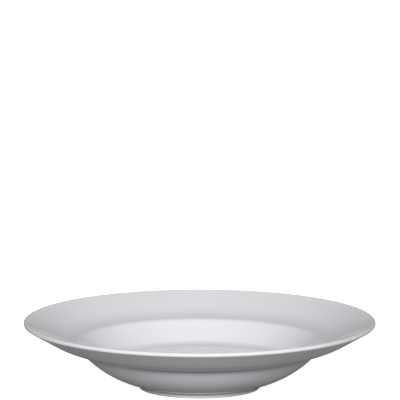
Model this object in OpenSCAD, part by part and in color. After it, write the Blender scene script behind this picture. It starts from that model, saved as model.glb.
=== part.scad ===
// Deep pasta plate of glazed porcelain: a broad rim that sweeps up to a rounded lip, a round well with a flat
// floor, and a bowl-shaped outside on a low foot ring. The origin is on the table, under the middle of the plate.

/* [Well] */
// Diameter at which the line of the wall meets the floor
floor_d = 168; // [140:1:200]
// Height of the floor above the table
floor_h = 20.5; // [14:0.5:24]
// Depth of the well, from its mouth down to the floor
well_depth = 19; // [14:0.5:26]
// How far the wall leans out between the floor and the mouth
wall_run = 19; // [13:0.5:26]
// Thickness of the wall of the well
wall_t = 4.2; // [3:0.1:6]
// Thickness of the base in the middle
base_t = 8.5; // [5:0.1:11]
// Radius of the rounding between wall and floor
floor_fillet = 13; // [6:1:34]
// Radius of the rounding over the mouth
mouth_round = 8; // [3:0.5:14]

/* [Rim] */
// Width of the rim, from the mouth of the well to the lip
rim_w = 47; // [36:1:60]
// Rise of the rim, from the mouth of the well to the top of the lip
rim_rise = 18.5; // [14:0.5:28]
// Width of the flatter part of the rim next to the mouth
rim_root_w = 14.5; // [11:0.5:20]
// Slope of that flatter part, in degrees
rim_root_slope = 12; // [4:1:20]
// Radius of the upward bend, on the upper face of the rim
rim_bend_r = 66; // [20:1:70]
// Thickness of the rim at the bend
rim_t = 5.5; // [3:0.1:6]
// Thickness of the rounded lip
lip_t = 3.6; // [2.6:0.1:5]
// Radius in the crease under the rim
crease_fillet = 3; // [1:0.5:6]

/* [Bowl and foot ring] */
// Radius of the belly of the bowl, on its outside
belly_r = 90; // [30:1:100]
// Height from the floor down to the corner that the belly rounds off
belly_drop = 7; // [5:0.1:9]
// Outer diameter of the foot ring at the table
foot_d = 104; // [90:1:130]
// Width of the foot ring at the table
foot_w = 4.5; // [3:0.1:8]
// Height of the foot ring, seen from outside
foot_h = 4.2; // [3:0.1:6]
// Width of the step between the foot ring and the belly
foot_step = 3; // [2:0.5:6]
// Lean of the outer side of the foot ring, in degrees
foot_lean = 5; // [0:1:20]
// Lean of the inner side of the foot ring, in degrees
recess_lean = 30; // [5:1:45]
// Radius at which the belly turns into the step
step_round = 6; // [2:0.5:14]
// Radius between the step and the foot ring
foot_fillet = 1.2; // [0.8:0.1:4]
// Radius between the foot ring and the underside of the base
recess_fillet = 6; // [1:0.5:9]
// Radius of the edges that the foot ring stands on
foot_edge = 0.8; // [0.3:0.1:1.4]

/* [Glaze] */
// Thickness of the glaze
glaze_t = 0.35; // [0.3:0.05:0.6]
// Height of the bare edge of the foot ring, which carries no glaze
bare_h = 1; // [0.6:0.1:1.6]

/* [Hidden] */

// Largest distance between an arc and the straight steps that draw it
arc_tol = 0.01;
// Steps round the plate
round_steps = 180;

// Radii and heights that follow from the sizes above
floor_r = floor_d / 2;
mouth_r = floor_r + wall_run;
mouth_h = floor_h + well_depth;
plate_r = mouth_r + rim_w;
plate_h = mouth_h + rim_rise;
foot_r = foot_d / 2;
recess_h = floor_h - base_t;
wall_slope = atan2(well_depth, wall_run);

// Direction and sideways direction at an angle, and the angle from one point to the next
function along(a) = [cos(a), sin(a)];
function left_of(a) = [-sin(a), cos(a)];
function heading(p, q) = atan2(q.y - p.y, q.x - p.x);
function bend(a, b) = (b - a) - 360 * round((b - a) / 360);

// The point where the line through p at angle a meets the line through q at angle b
function meet(p, a, q, b) = p + along(a) * ((q - p) * left_of(b)) / (along(a) * left_of(b));

// Points of an arc
function arc(centre, r, from, to) =
    let (steps = max(2, ceil(abs(to - from) / (2 * acos(1 - arc_tol / r)))))
    [for (i = [0:steps]) centre + r * along(from + (to - from) * i / steps)];

// An arc that rounds the corner q, tangent to the lines from p and to s
function corner_arc(p, q, s, r) =
    let (a = heading(p, q), t = bend(a, heading(q, s)), side = sign(t))
    let (start = q - along(a) * r * tan(abs(t) / 2))
    arc(start + side * r * left_of(a), r, a - 90 * side, a - 90 * side + t);

// A path of [radius, height, rounding] corners with every corner rounded; where two roundings need more
// length than the line between them has, both are limited to what it has
function point(c) = [c.x, c.y];
function rounded(path) =
    let (last = len(path) - 1)
    let (pts = [for (c = path) point(c)])
    let (need = [for (i = [0:last]) i == 0 || i == last ? 0
        : path[i].z * tan(abs(bend(heading(pts[i - 1], pts[i]), heading(pts[i], pts[i + 1]))) / 2)])
    let (room = [for (i = [0:last - 1]) norm(pts[i + 1] - pts[i]) / max(need[i] + need[i + 1], arc_tol)])
    [for (i = [0:last]) each i == 0 || i == last ? [pts[i]]
        : corner_arc(pts[i - 1], pts[i], pts[i + 1], path[i].z * min(1, room[i - 1], room[i]))];

// A path moved to its left by t, every step staying parallel to itself
function moved(path, t) =
    let (last = len(path) - 1)
    [for (i = [0:last])
        let (a = heading(path[max(i - 1, 0)], path[max(i, 1)]))
        let (half = bend(a, heading(path[min(i, last - 1)], path[min(i + 1, last)])) / 2)
        path[i] + left_of(a + half) * t / cos(half)];

function reversed(path) = [for (i = [len(path) - 1:-1:0]) path[i]];
function inner_points(path) = [for (i = [1:len(path) - 2]) path[i]];

// Upper face: the bend of the rim, and the lip as a full round that both faces of the rim run into
lip_r = lip_t / 2;
lip_centre = [plate_r - lip_r, plate_h - lip_r];
mouth = [mouth_r, mouth_h];
rim_bend = mouth + rim_root_w * [1, tan(rim_root_slope)];
upper_slope = heading(rim_bend, lip_centre) + asin(lip_r / norm(lip_centre - rim_bend));

// Underside of the rim, one rim thickness below, and the crease where it meets the outside of the wall
half_bend = (upper_slope - rim_root_slope) / 2;
under_bend = rim_bend - left_of(rim_root_slope + half_bend) * rim_t / cos(half_bend);
under_slope = heading(under_bend, lip_centre) - asin(lip_r / norm(lip_centre - under_bend));
wall_outside = mouth - left_of(wall_slope) * wall_t;
crease = meet(under_bend, rim_root_slope, wall_outside, wall_slope);
belly = meet(wall_outside, wall_slope, [0, floor_h - belly_drop], 0);

// Finished outline from the edge of the glaze on the foot ring, up the outside and over the lip to the middle
// of the floor
lip = arc(lip_centre, lip_r, under_slope - 90, upper_slope + 90);
outside = rounded([
    [foot_r + bare_h * tan(foot_lean), bare_h, 0],
    [foot_r + foot_h * tan(foot_lean), foot_h, foot_fillet],
    [foot_r + foot_step, foot_h, step_round],
    [belly.x, belly.y, belly_r],
    [crease.x, crease.y, crease_fillet],
    [under_bend.x, under_bend.y, rim_bend_r + rim_t],
    [lip[0].x, lip[0].y, 0],
]);
lip_end = lip[len(lip) - 1];
face = rounded([
    [lip_end.x, lip_end.y, 0],
    [rim_bend.x, rim_bend.y, rim_bend_r],
    [mouth.x, mouth.y, mouth_round],
    [floor_r, floor_h, floor_fillet],
    [0, floor_h, 0],
]);
finished = concat(outside, inner_points(lip), face);

// Finished outline of the underside, from its middle to the edge of the glaze inside the foot ring
recess_edge = foot_r - foot_w;
underside = rounded([
    [0, recess_h, 0],
    [recess_edge - recess_h * tan(recess_lean), recess_h, recess_fillet],
    [recess_edge - bare_h * tan(recess_lean), bare_h, 0],
]);

// The clay lies one glaze thickness under both outlines, and comes out bare where the foot ring stands
clay_finished = moved(finished, glaze_t);
clay_underside = moved(underside, glaze_t);
stand_in = clay_underside[len(clay_underside) - 1];
stand_out = clay_finished[0];
stand = rounded([
    [stand_in.x, stand_in.y, 0],
    [stand_in.x + stand_in.y * tan(recess_lean), 0, foot_edge],
    [stand_out.x - stand_out.y * tan(foot_lean), 0, foot_edge],
    [stand_out.x, stand_out.y, 0],
]);

// A solid of revolution about the middle of the plate
module turned(outline) {
    rotate_extrude($fn = round_steps)
        polygon(outline);
}

// The fired clay: rim, well and foot ring in one piece
module porcelain_body() {
    color("#e8e6e1")
        turned(concat(clay_underside, inner_points(stand), clay_finished));
}

// The glaze over floor, well, rim and lip, and down the outside to the foot ring
module outer_glaze() {
    color("#f0f0f4")
        turned(concat(finished, reversed(clay_finished)));
}

// The glaze on the underside, inside the foot ring
module base_glaze() {
    color("#f0f0f4")
        turned(concat(underside, reversed(clay_underside)));
}

porcelain_body();
outer_glaze();
base_glaze();
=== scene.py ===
"""A deep pasta plate of white glazed porcelain, lying on its foot ring in soft studio light."""
import math

import bpy
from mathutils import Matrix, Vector


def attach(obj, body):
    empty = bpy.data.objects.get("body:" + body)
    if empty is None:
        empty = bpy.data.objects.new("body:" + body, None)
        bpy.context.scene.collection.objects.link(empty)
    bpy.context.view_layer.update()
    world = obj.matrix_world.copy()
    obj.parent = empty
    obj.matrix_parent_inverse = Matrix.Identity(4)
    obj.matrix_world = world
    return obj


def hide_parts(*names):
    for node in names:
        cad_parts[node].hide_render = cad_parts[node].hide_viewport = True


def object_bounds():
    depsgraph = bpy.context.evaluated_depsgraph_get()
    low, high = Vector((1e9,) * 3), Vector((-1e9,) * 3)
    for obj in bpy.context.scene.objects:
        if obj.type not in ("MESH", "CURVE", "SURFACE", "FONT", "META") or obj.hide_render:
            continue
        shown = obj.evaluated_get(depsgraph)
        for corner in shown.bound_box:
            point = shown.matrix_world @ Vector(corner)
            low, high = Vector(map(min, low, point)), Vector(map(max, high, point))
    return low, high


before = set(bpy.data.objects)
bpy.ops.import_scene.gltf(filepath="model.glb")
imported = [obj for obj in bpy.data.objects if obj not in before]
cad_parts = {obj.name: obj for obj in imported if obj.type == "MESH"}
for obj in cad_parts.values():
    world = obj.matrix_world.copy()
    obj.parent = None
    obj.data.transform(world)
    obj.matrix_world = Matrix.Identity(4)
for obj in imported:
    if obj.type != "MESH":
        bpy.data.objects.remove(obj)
cad_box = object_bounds()

MM = 0.001

# Sizes of the finished plate, in millimetres, as it is drawn
FLOOR_R = 84.0
FLOOR_H = 20.5
WELL_DEPTH = 19.0
WALL_RUN = 19.0
WALL_T = 4.2
BASE_T = 8.5
FLOOR_FILLET = 13.0
MOUTH_ROUND = 8.0
RIM_W = 47.0
# 0.002 less than in the solid, because the lip is drawn in finer steps and must not stand above it
RIM_RISE = 18.498
RIM_ROOT_W = 14.5
RIM_ROOT_SLOPE = math.radians(12)
RIM_BEND_R = 66.0
RIM_T = 5.5
LIP_T = 3.6
CREASE_FILLET = 3.0
BELLY_R = 90.0
BELLY_DROP = 7.0
FOOT_R = 52.0
FOOT_W = 4.5
FOOT_H = 4.2
FOOT_STEP = 3.0
FOOT_LEAN = math.radians(5)
RECESS_LEAN = math.radians(30)
STEP_ROUND = 6.0
FOOT_FILLET = 1.2
RECESS_FILLET = 6.0
FOOT_EDGE = 0.8
GLAZE_T = 0.35
BARE_H = 1.0
# The glaze ends in a rounded bead, a little under half its thickness in radius
GLAZE_BEAD = 0.16

# How deep the glaze lies: thin where it runs off an edge, thick where it pools in a hollow
THIN, EVEN, POOLED = 0.0, 0.5, 1.0

# Steps of the mesh: round the plate, round a corner that shows, and round one that is covered
STEPS_ROUND = 288
SHOWN_STEPS = 18
COVERED_STEPS = 5
# Radius of the circle that the outline is swept along, and the distance under which two points become one
SWEEP_R = 75.0
MERGE_MM = 0.001


# The direction at an angle, the one to its left, the angle from p to q, and the turn between two angles
def along(a):
    return Vector((math.cos(a), math.sin(a)))


def left_of(a):
    return Vector((-math.sin(a), math.cos(a)))


def heading(p, q):
    return math.atan2(q.y - p.y, q.x - p.x)


def bend(a, b):
    return math.remainder(b - a, 2 * math.pi)


def meet(p, a, q, b):
    """The point where the line through p at angle a meets the line through q at angle b."""
    return p + along(a) * (q - p).dot(left_of(b)) / along(a).dot(left_of(b))


def inset(corners, t):
    """The same corners, moved t to the left of the path, with their roundings changed to match."""
    points = [Vector(c[:2]) for c in corners]
    moved = []
    for i, (_, _, rounding, depth) in enumerate(corners):
        before = heading(points[max(i - 1, 0)], points[max(i, 1)])
        after = heading(points[min(i, len(points) - 2)], points[min(i + 1, len(points) - 1)])
        half = bend(before, after) / 2
        place = points[i] + left_of(before + half) * t / math.cos(half)
        new_rounding = max(rounding - math.copysign(t, half), 0) if rounding else 0
        moved.append((place.x, place.y, new_rounding, depth))
    return moved


def finished_corners():
    """Corners of the glazed outline, from the foot ring up the outside and over the lip to the floor.

    Each is (radius, height, rounding, depth of the glaze).
    """
    mouth = Vector((FLOOR_R + WALL_RUN, FLOOR_H + WELL_DEPTH))
    wall_slope = math.atan2(WELL_DEPTH, WALL_RUN)
    lip_r = LIP_T / 2
    lip = Vector((mouth.x + RIM_W - lip_r, mouth.y + RIM_RISE - lip_r))
    upper_bend = mouth + RIM_ROOT_W * Vector((1, math.tan(RIM_ROOT_SLOPE)))
    upper_slope = heading(upper_bend, lip) + math.asin(lip_r / (lip - upper_bend).length)
    half = (upper_slope - RIM_ROOT_SLOPE) / 2
    under_bend = upper_bend - left_of(RIM_ROOT_SLOPE + half) * RIM_T / math.cos(half)
    under_slope = heading(under_bend, lip) - math.asin(lip_r / (lip - under_bend).length)
    rim_slope = (upper_slope + under_slope) / 2
    lip_end = lip + lip_r * along(rim_slope)
    lip_low = meet(under_bend, under_slope, lip_end, rim_slope + math.pi / 2)
    lip_high = meet(upper_bend, upper_slope, lip_end, rim_slope + math.pi / 2)
    wall_outside = mouth - left_of(wall_slope) * WALL_T
    crease = meet(under_bend, RIM_ROOT_SLOPE, wall_outside, wall_slope)
    belly = meet(wall_outside, wall_slope, Vector((0, FLOOR_H - BELLY_DROP)), 0)
    return [
        (FOOT_R + BARE_H * math.tan(FOOT_LEAN), BARE_H, GLAZE_BEAD, THIN),
        (FOOT_R + FOOT_H * math.tan(FOOT_LEAN), FOOT_H, FOOT_FILLET, POOLED),
        (FOOT_R + FOOT_STEP, FOOT_H, STEP_ROUND, EVEN),
        (belly.x, belly.y, BELLY_R, EVEN),
        (crease.x, crease.y, CREASE_FILLET, POOLED),
        (under_bend.x, under_bend.y, RIM_BEND_R + RIM_T, EVEN),
        (lip_low.x, lip_low.y, lip_r, THIN),
        (lip_high.x, lip_high.y, lip_r, THIN),
        (upper_bend.x, upper_bend.y, RIM_BEND_R, EVEN),
        (mouth.x, mouth.y, MOUTH_ROUND, EVEN),
        (FLOOR_R, FLOOR_H, FLOOR_FILLET, POOLED),
        (0, FLOOR_H, 0, EVEN),
    ]


def underside_corners():
    """Corners of the glazed outline under the base, from its middle to the inside of the foot ring."""
    recess_h = FLOOR_H - BASE_T
    recess_r = FOOT_R - FOOT_W
    return [
        (0, recess_h, 0, EVEN),
        (recess_r - recess_h * math.tan(RECESS_LEAN), recess_h, RECESS_FILLET, POOLED),
        (recess_r - BARE_H * math.tan(RECESS_LEAN), BARE_H, GLAZE_BEAD, THIN),
    ]


def stand_corners(inside, outside):
    """The bare corners that the foot ring stands on, between the clay's last and first glazed corners."""
    return [
        (inside[0] + inside[1] * math.tan(RECESS_LEAN), 0, FOOT_EDGE, THIN),
        (outside[0] - outside[1] * math.tan(FOOT_LEAN), 0, FOOT_EDGE, THIN),
    ]


def add(tree, kind, links=None, **settings):
    """Adds a node, sets its properties and input values, and links its inputs to other nodes' outputs."""
    node = tree.nodes.new(kind)
    for name, value in settings.items():
        setattr(node, name, value)
    for socket, source in (links or {}).items():
        if isinstance(source, bpy.types.NodeSocket):
            tree.links.new(source, node.inputs[socket])
        else:
            node.inputs[socket].default_value = source
    return node


def turned_tree():
    """Geometry Nodes that round an outline's corners and turn it about the plate's axis."""
    tree = bpy.data.node_groups.new("turned_on_a_wheel", "GeometryNodeTree")
    face = tree.interface
    face.new_socket("Outline", in_out="INPUT", socket_type="NodeSocketGeometry")
    face.new_socket("Steps Round", in_out="INPUT", socket_type="NodeSocketInt")
    face.new_socket("Sweep Radius", in_out="INPUT", socket_type="NodeSocketFloat")
    face.new_socket("Merge Distance", in_out="INPUT", socket_type="NodeSocketFloat")
    face.new_socket("Finish", in_out="INPUT", socket_type="NodeSocketMaterial")
    face.new_socket("Piece", in_out="OUTPUT", socket_type="NodeSocketGeometry")
    sizes = add(tree, "NodeGroupInput").outputs
    rounding = add(tree, "GeometryNodeInputNamedAttribute", {"Name": "rounding"}, data_type="FLOAT")
    steps = add(tree, "GeometryNodeInputNamedAttribute", {"Name": "corner_steps"}, data_type="INT")
    line = add(tree, "GeometryNodeMeshToCurve", {"Mesh": sizes["Outline"]})
    outline = add(tree, "GeometryNodeFilletCurve", {
        "Curve": line.outputs["Curve"],
        "Count": steps.outputs["Attribute"],
        "Radius": rounding.outputs["Attribute"],
        "Limit Radius": True,
    }, mode="POLY")
    wheel = add(tree, "GeometryNodeCurvePrimitiveCircle", {
        "Resolution": sizes["Steps Round"],
        "Radius": sizes["Sweep Radius"],
    }, mode="RADIUS")
    upright = add(tree, "GeometryNodeSetCurveNormal", {"Curve": wheel.outputs["Curve"]}, mode="Z_UP")
    swept = add(tree, "GeometryNodeCurveToMesh", {
        "Curve": upright.outputs["Curve"],
        "Profile Curve": outline.outputs["Curve"],
    })
    closed = add(tree, "GeometryNodeMergeByDistance", {
        "Geometry": swept.outputs["Mesh"],
        "Distance": sizes["Merge Distance"],
    })
    outward = add(tree, "GeometryNodeFlipFaces", {"Mesh": closed.outputs["Geometry"]})
    smooth = add(tree, "GeometryNodeSetShadeSmooth", {"Geometry": outward.outputs["Mesh"]})
    real = add(tree, "GeometryNodeRealizeInstances", {"Geometry": smooth.outputs["Geometry"]})
    finish = add(tree, "GeometryNodeSetMaterial", {
        "Geometry": real.outputs["Geometry"],
        "Material": sizes["Finish"],
    })
    add(tree, "NodeGroupOutput", {"Piece": finish.outputs["Geometry"]})
    return tree


def outline_mesh(name, corners, steps):
    """A chain of points, one for each corner, that carries its roundings as attributes."""
    mesh = bpy.data.meshes.new(name)
    points = [((r - SWEEP_R) * MM, -z * MM, 0) for r, z, *_ in corners]
    mesh.from_pydata(points, [(i, i + 1) for i in range(len(points) - 1)], [])
    columns = {
        "rounding": ("FLOAT", [c[2] * MM for c in corners]),
        "glaze_depth": ("FLOAT", [c[3] for c in corners]),
        "corner_steps": ("INT", steps),
    }
    for title, (kind, values) in columns.items():
        mesh.attributes.new(title, kind, "POINT").data.foreach_set("value", values)
    return mesh


def turned_piece(name, corners, steps, tree, material):
    """Turns an outline into a plain mesh object, with the tree applied and removed."""
    maker = bpy.data.objects.new(name + "_outline", outline_mesh(name + "_outline", corners, steps))
    bpy.context.scene.collection.objects.link(maker)
    modifier = maker.modifiers.new("turned", "NODES")
    modifier.node_group = tree
    sockets = {s.name: s.identifier for s in tree.interface.items_tree if s.in_out == "INPUT"}
    modifier[sockets["Steps Round"]] = STEPS_ROUND
    modifier[sockets["Sweep Radius"]] = SWEEP_R * MM
    modifier[sockets["Merge Distance"]] = MERGE_MM * MM
    modifier[sockets["Finish"]] = material
    evaluated = maker.evaluated_get(bpy.context.evaluated_depsgraph_get())
    mesh = bpy.data.meshes.new_from_object(evaluated)
    mesh.name = name
    bpy.data.objects.remove(maker)
    piece = bpy.data.objects.new(name, mesh)
    bpy.context.scene.collection.objects.link(piece)
    return piece


def linear(hex_colour):
    """An sRGB hex colour as linear RGBA."""
    channels = [int(hex_colour[i:i + 2], 16) / 255 for i in (1, 3, 5)]
    return [c / 12.92 if c <= 0.04045 else ((c + 0.055) / 1.055) ** 2.4 for c in channels] + [1]


# The part of a noise's range that is used
NOISE_LOW, NOISE_HIGH = 0.3, 0.7


def spread(tree, noise, low, high):
    """The used part of a noise's range, spread from low to high."""
    return add(tree, "ShaderNodeMapRange", {
        "Value": noise.outputs["Fac"],
        "From Min": NOISE_LOW, "From Max": NOISE_HIGH, "To Min": low, "To Max": high,
    }).outputs["Result"]


# Glaze: its tone by depth, and the clouds and the ripple of the melt, with their sizes in metres and how
# many finer layers each has
GLAZE_TONES = {THIN: "#eae8e9", EVEN: "#e8e7eb", POOLED: "#e4e3e9"}
GLAZE_IOR = 1.52
CLOUD_SIZE = 0.045
CLOUD_DETAIL = 2
CLOUD_SHADE = (0.985, 1.0)
CLOUD_ROUGHNESS = (0.08, 0.13)
RIPPLE_SIZE = 0.009
RIPPLE_DETAIL = 1
RIPPLE_HEIGHT = 0.00006
RIPPLE_STRENGTH = 0.25


def glaze_material():
    """Clear glaze on white porcelain, fired glossy.

    It gives the eye a cool white with clean reflections, a faint ripple in them from the melt, a warmer
    tone where the glaze thins over an edge and a cooler one where it pools in a hollow.
    """
    material = bpy.data.materials.new("glazed_porcelain")
    material.use_nodes = True
    tree = material.node_tree
    shader = tree.nodes["Principled BSDF"]
    place = add(tree, "ShaderNodeTexCoord").outputs["Object"]
    depth = add(tree, "ShaderNodeAttribute", attribute_name="glaze_depth").outputs["Fac"]
    tone = add(tree, "ShaderNodeValToRGB", {"Fac": depth})
    stops = tone.color_ramp.elements
    stops[0].color = linear(GLAZE_TONES[THIN])
    stops[1].color = linear(GLAZE_TONES[POOLED])
    stops.new(EVEN).color = linear(GLAZE_TONES[EVEN])
    cloud = add(tree, "ShaderNodeTexNoise",
                {"Vector": place, "Scale": 1 / CLOUD_SIZE, "Detail": CLOUD_DETAIL})
    colour = add(tree, "ShaderNodeMix", {
        "Factor": 1.0, "A": tone.outputs["Color"], "B": spread(tree, cloud, *CLOUD_SHADE),
    }, data_type="RGBA", blend_type="MULTIPLY")
    tree.links.new(colour.outputs["Result"], shader.inputs["Base Color"])
    tree.links.new(spread(tree, cloud, *CLOUD_ROUGHNESS), shader.inputs["Roughness"])
    ripple = add(tree, "ShaderNodeTexNoise",
                 {"Vector": place, "Scale": 1 / RIPPLE_SIZE, "Detail": RIPPLE_DETAIL})
    bump = add(tree, "ShaderNodeBump", {
        "Height": ripple.outputs["Fac"], "Strength": RIPPLE_STRENGTH, "Distance": RIPPLE_HEIGHT,
    })
    tree.links.new(bump.outputs["Normal"], shader.inputs["Normal"])
    shader.inputs["IOR"].default_value = GLAZE_IOR
    return material


# Bare clay: its dark and light grains with their places in the noise, and the grit of the ground edge,
# drawn coarse enough to show, with its size and height in metres and how many finer layers it has
GRAIN_TONES = [("#cfcac0", 0.25), ("#e2ded6", 0.7)]
GRIT_SIZE = 0.0008
GRIT_DETAIL = 3
GRIT_HEIGHT = 0.0001
GRIT_STRENGTH = 0.5
BARE_ROUGHNESS = 0.72


def bare_material():
    """Fired porcelain without glaze, ground flat on the foot ring.

    It gives the eye a warm matt white with a fine sandy grain.
    """
    material = bpy.data.materials.new("bare_fired_porcelain")
    material.use_nodes = True
    tree = material.node_tree
    shader = tree.nodes["Principled BSDF"]
    place = add(tree, "ShaderNodeTexCoord").outputs["Object"]
    grain = add(tree, "ShaderNodeTexNoise",
                {"Vector": place, "Scale": 1 / GRIT_SIZE, "Detail": GRIT_DETAIL})
    tone = add(tree, "ShaderNodeValToRGB", {"Fac": grain.outputs["Fac"]})
    for stop, (colour, position) in zip(tone.color_ramp.elements, GRAIN_TONES):
        stop.color = linear(colour)
        stop.position = position
    tree.links.new(tone.outputs["Color"], shader.inputs["Base Color"])
    bump = add(tree, "ShaderNodeBump", {
        "Height": grain.outputs["Fac"], "Strength": GRIT_STRENGTH, "Distance": GRIT_HEIGHT,
    })
    tree.links.new(bump.outputs["Normal"], shader.inputs["Normal"])
    shader.inputs["Roughness"].default_value = BARE_ROUGHNESS
    return material


def build_plate():
    """The clay and its two glaze skins, each in the place of its CAD node."""
    glaze, bare = glaze_material(), bare_material()
    tree = turned_tree()
    finished, underside = finished_corners(), underside_corners()
    clay_top, clay_under = inset(finished, GLAZE_T), inset(underside, GLAZE_T)
    clay_top[0] = clay_top[0][:2] + (0, THIN)
    clay_under[-1] = clay_under[-1][:2] + (0, THIN)
    stand = stand_corners(clay_under[-1], clay_top[0])
    beaded_top = [clay_top[0][:2] + (GLAZE_BEAD, THIN)] + clay_top[1:]
    beaded_under = clay_under[:-1] + [clay_under[-1][:2] + (GLAZE_BEAD, THIN)]
    outlines = {
        "glaze_coat": (beaded_top[::-1] + finished, len(clay_top), "outer_glaze", "glaze", glaze),
        "base_glaze_coat": (underside + beaded_under[::-1], -len(clay_under), "base_glaze", "glaze", glaze),
        "fired_clay_body": (clay_under + stand + clay_top, 0, "porcelain_body", "porcelain", bare),
    }
    for name, (corners, covered, node, slot, material) in outlines.items():
        steps = [SHOWN_STEPS] * len(corners)
        if covered > 0:
            steps[:covered] = [COVERED_STEPS] * covered
        elif covered < 0:
            steps[covered:] = [COVERED_STEPS] * -covered
        piece = turned_piece(name, corners, steps, tree, material)
        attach(piece, "root")
        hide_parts(node)


def seen_directly(tree, share):
    """How much of the white background a ray sees.

    It is all for a ray from the camera, the share for one off a shiny surface or through a glass, and
    nothing for the rest.
    """
    rays = add(tree, "ShaderNodeLightPath").outputs
    shiny = add(tree, "ShaderNodeMath", {0: rays["Is Glossy Ray"], 1: rays["Is Transmission Ray"]},
                operation="MAXIMUM")
    weaker = add(tree, "ShaderNodeMath", {0: shiny.outputs[0], 1: share}, operation="MULTIPLY")
    return add(tree, "ShaderNodeMath", {0: rays["Is Camera Ray"], 1: weaker.outputs[0]},
               operation="MAXIMUM").outputs[0]


# Floor: its side in metres, the colour that the camera sees, the darker one that lights the plate, the
# share of the first that reflections see, and the glow that brings it up to white for the camera
FLOOR_SIDE = 1.6
FLOOR_SEEN = "#f4f4f4"
FLOOR_BOUNCE = "#909090"
FLOOR_SHINE = 0.15
FLOOR_LIFT = 0.8


def build_floor():
    """A pale floor that shows white, keeps the plate's shadow and throws little light back up."""
    bpy.ops.mesh.primitive_plane_add(size=FLOOR_SIDE)
    floor = bpy.context.object
    floor.name = "studio_floor"
    material = bpy.data.materials.new("pale_studio_floor")
    material.use_nodes = True
    tree = material.node_tree
    tree.nodes.remove(tree.nodes["Principled BSDF"])
    seen = add(tree, "ShaderNodeBsdfDiffuse", {"Color": linear(FLOOR_SEEN)})
    from_camera = add(tree, "ShaderNodeLightPath").outputs["Is Camera Ray"]
    level = add(tree, "ShaderNodeMath", {0: from_camera, 1: FLOOR_LIFT}, operation="MULTIPLY")
    lift = add(tree, "ShaderNodeEmission", {"Strength": level.outputs[0]})
    pale = add(tree, "ShaderNodeAddShader", {0: seen.outputs[0], 1: lift.outputs[0]})
    bounce = add(tree, "ShaderNodeBsdfDiffuse", {"Color": linear(FLOOR_BOUNCE)})
    both = add(tree, "ShaderNodeMixShader",
               {0: seen_directly(tree, FLOOR_SHINE), 1: bounce.outputs[0], 2: pale.outputs[0]})
    tree.links.new(both.outputs[0], tree.nodes["Material Output"].inputs["Surface"])
    floor.data.materials.append(material)


# World: the tint and the level of the fill on the plate, and the share of its white that reflections see
FILL_TINT = "#f8f7ff"
WORLD_FILL = 0.15
WORLD_SHINE = 0.1


def build_world():
    """White where it is seen, and a weak even fill where it lights the plate."""
    world = bpy.data.worlds.new("studio")
    bpy.context.scene.world = world
    world.use_nodes = True
    tree = world.node_tree
    white = tree.nodes["Background"]
    white.inputs["Color"].default_value = (1, 1, 1, 1)
    fill = add(tree, "ShaderNodeBackground", {"Color": linear(FILL_TINT), "Strength": WORLD_FILL})
    both = add(tree, "ShaderNodeMixShader",
               {0: seen_directly(tree, WORLD_SHINE), 1: fill.outputs[0], 2: white.outputs[0]})
    tree.links.new(both.outputs[0], tree.nodes["World Output"].inputs["Surface"])


# Soft boxes: name, azimuth from the front and elevation in degrees, distance, width and height in metres,
# power in watts, and whether it shows in reflections. The front light is in two parts, because the lip
# would clip to white if reflections showed all of it
SOFT_BOXES = [
    ("front_soft_box", 0, 21.5, 4.0, 5.0, 0.6, 25, True),
    ("front_fill_box", 0, 21.5, 4.0, 5.0, 0.6, 178, False),
    ("back_soft_box", 170, 35, 4.0, 1.2, 1.2, 40, False),
    ("low_back_soft_box", 180, 4, 4.0, 4.0, 0.4, 110, False),
]


def build_lights(target):
    """Soft boxes that look at the target."""
    for name, azimuth, elevation, distance, width, height, power, shows in SOFT_BOXES:
        lamp = bpy.data.lights.new(name, "AREA")
        lamp.shape = "RECTANGLE"
        lamp.size = width
        lamp.size_y = height
        lamp.energy = power
        a, e = math.radians(azimuth), math.radians(elevation)
        away = Vector((math.sin(a) * math.cos(e), -math.cos(a) * math.cos(e), math.sin(e)))
        box = bpy.data.objects.new(name, lamp)
        box.location = target + away * distance
        box.rotation_euler = (-away).to_track_quat("-Z", "Y").to_euler()
        box.visible_glossy = shows
        bpy.context.scene.collection.objects.link(box)


# Camera: its distance from the middle of the rim in metres, its height above it and its tilt as angles,
# how far it stands to the side in metres, and its lens and sensor in millimetres
CAMERA_DISTANCE = 3.0
CAMERA_ELEVATION = math.radians(10.538)
CAMERA_TILT_UP = math.radians(1.951)
CAMERA_ASIDE = 0.00036
LENS = 316.4
SENSOR = 36


def build_camera(rim_middle):
    """A long lens that looks a little over the plate."""
    data = bpy.data.cameras.new("camera")
    data.sensor_width = SENSOR
    data.lens = LENS
    camera = bpy.data.objects.new("camera", data)
    back = Vector((0, -math.cos(CAMERA_ELEVATION), math.sin(CAMERA_ELEVATION)))
    camera.location = rim_middle + back * CAMERA_DISTANCE + Vector((CAMERA_ASIDE, 0, 0))
    camera.rotation_euler = (math.pi / 2 - CAMERA_ELEVATION + CAMERA_TILT_UP, 0, 0)
    bpy.context.scene.collection.objects.link(camera)
    bpy.context.scene.camera = camera


rim_middle = Vector((0, 0, cad_box[1].z))
build_plate()
build_floor()
build_world()
build_lights(rim_middle)
build_camera(rim_middle)
bpy.context.scene.view_settings.view_transform = "Standard"
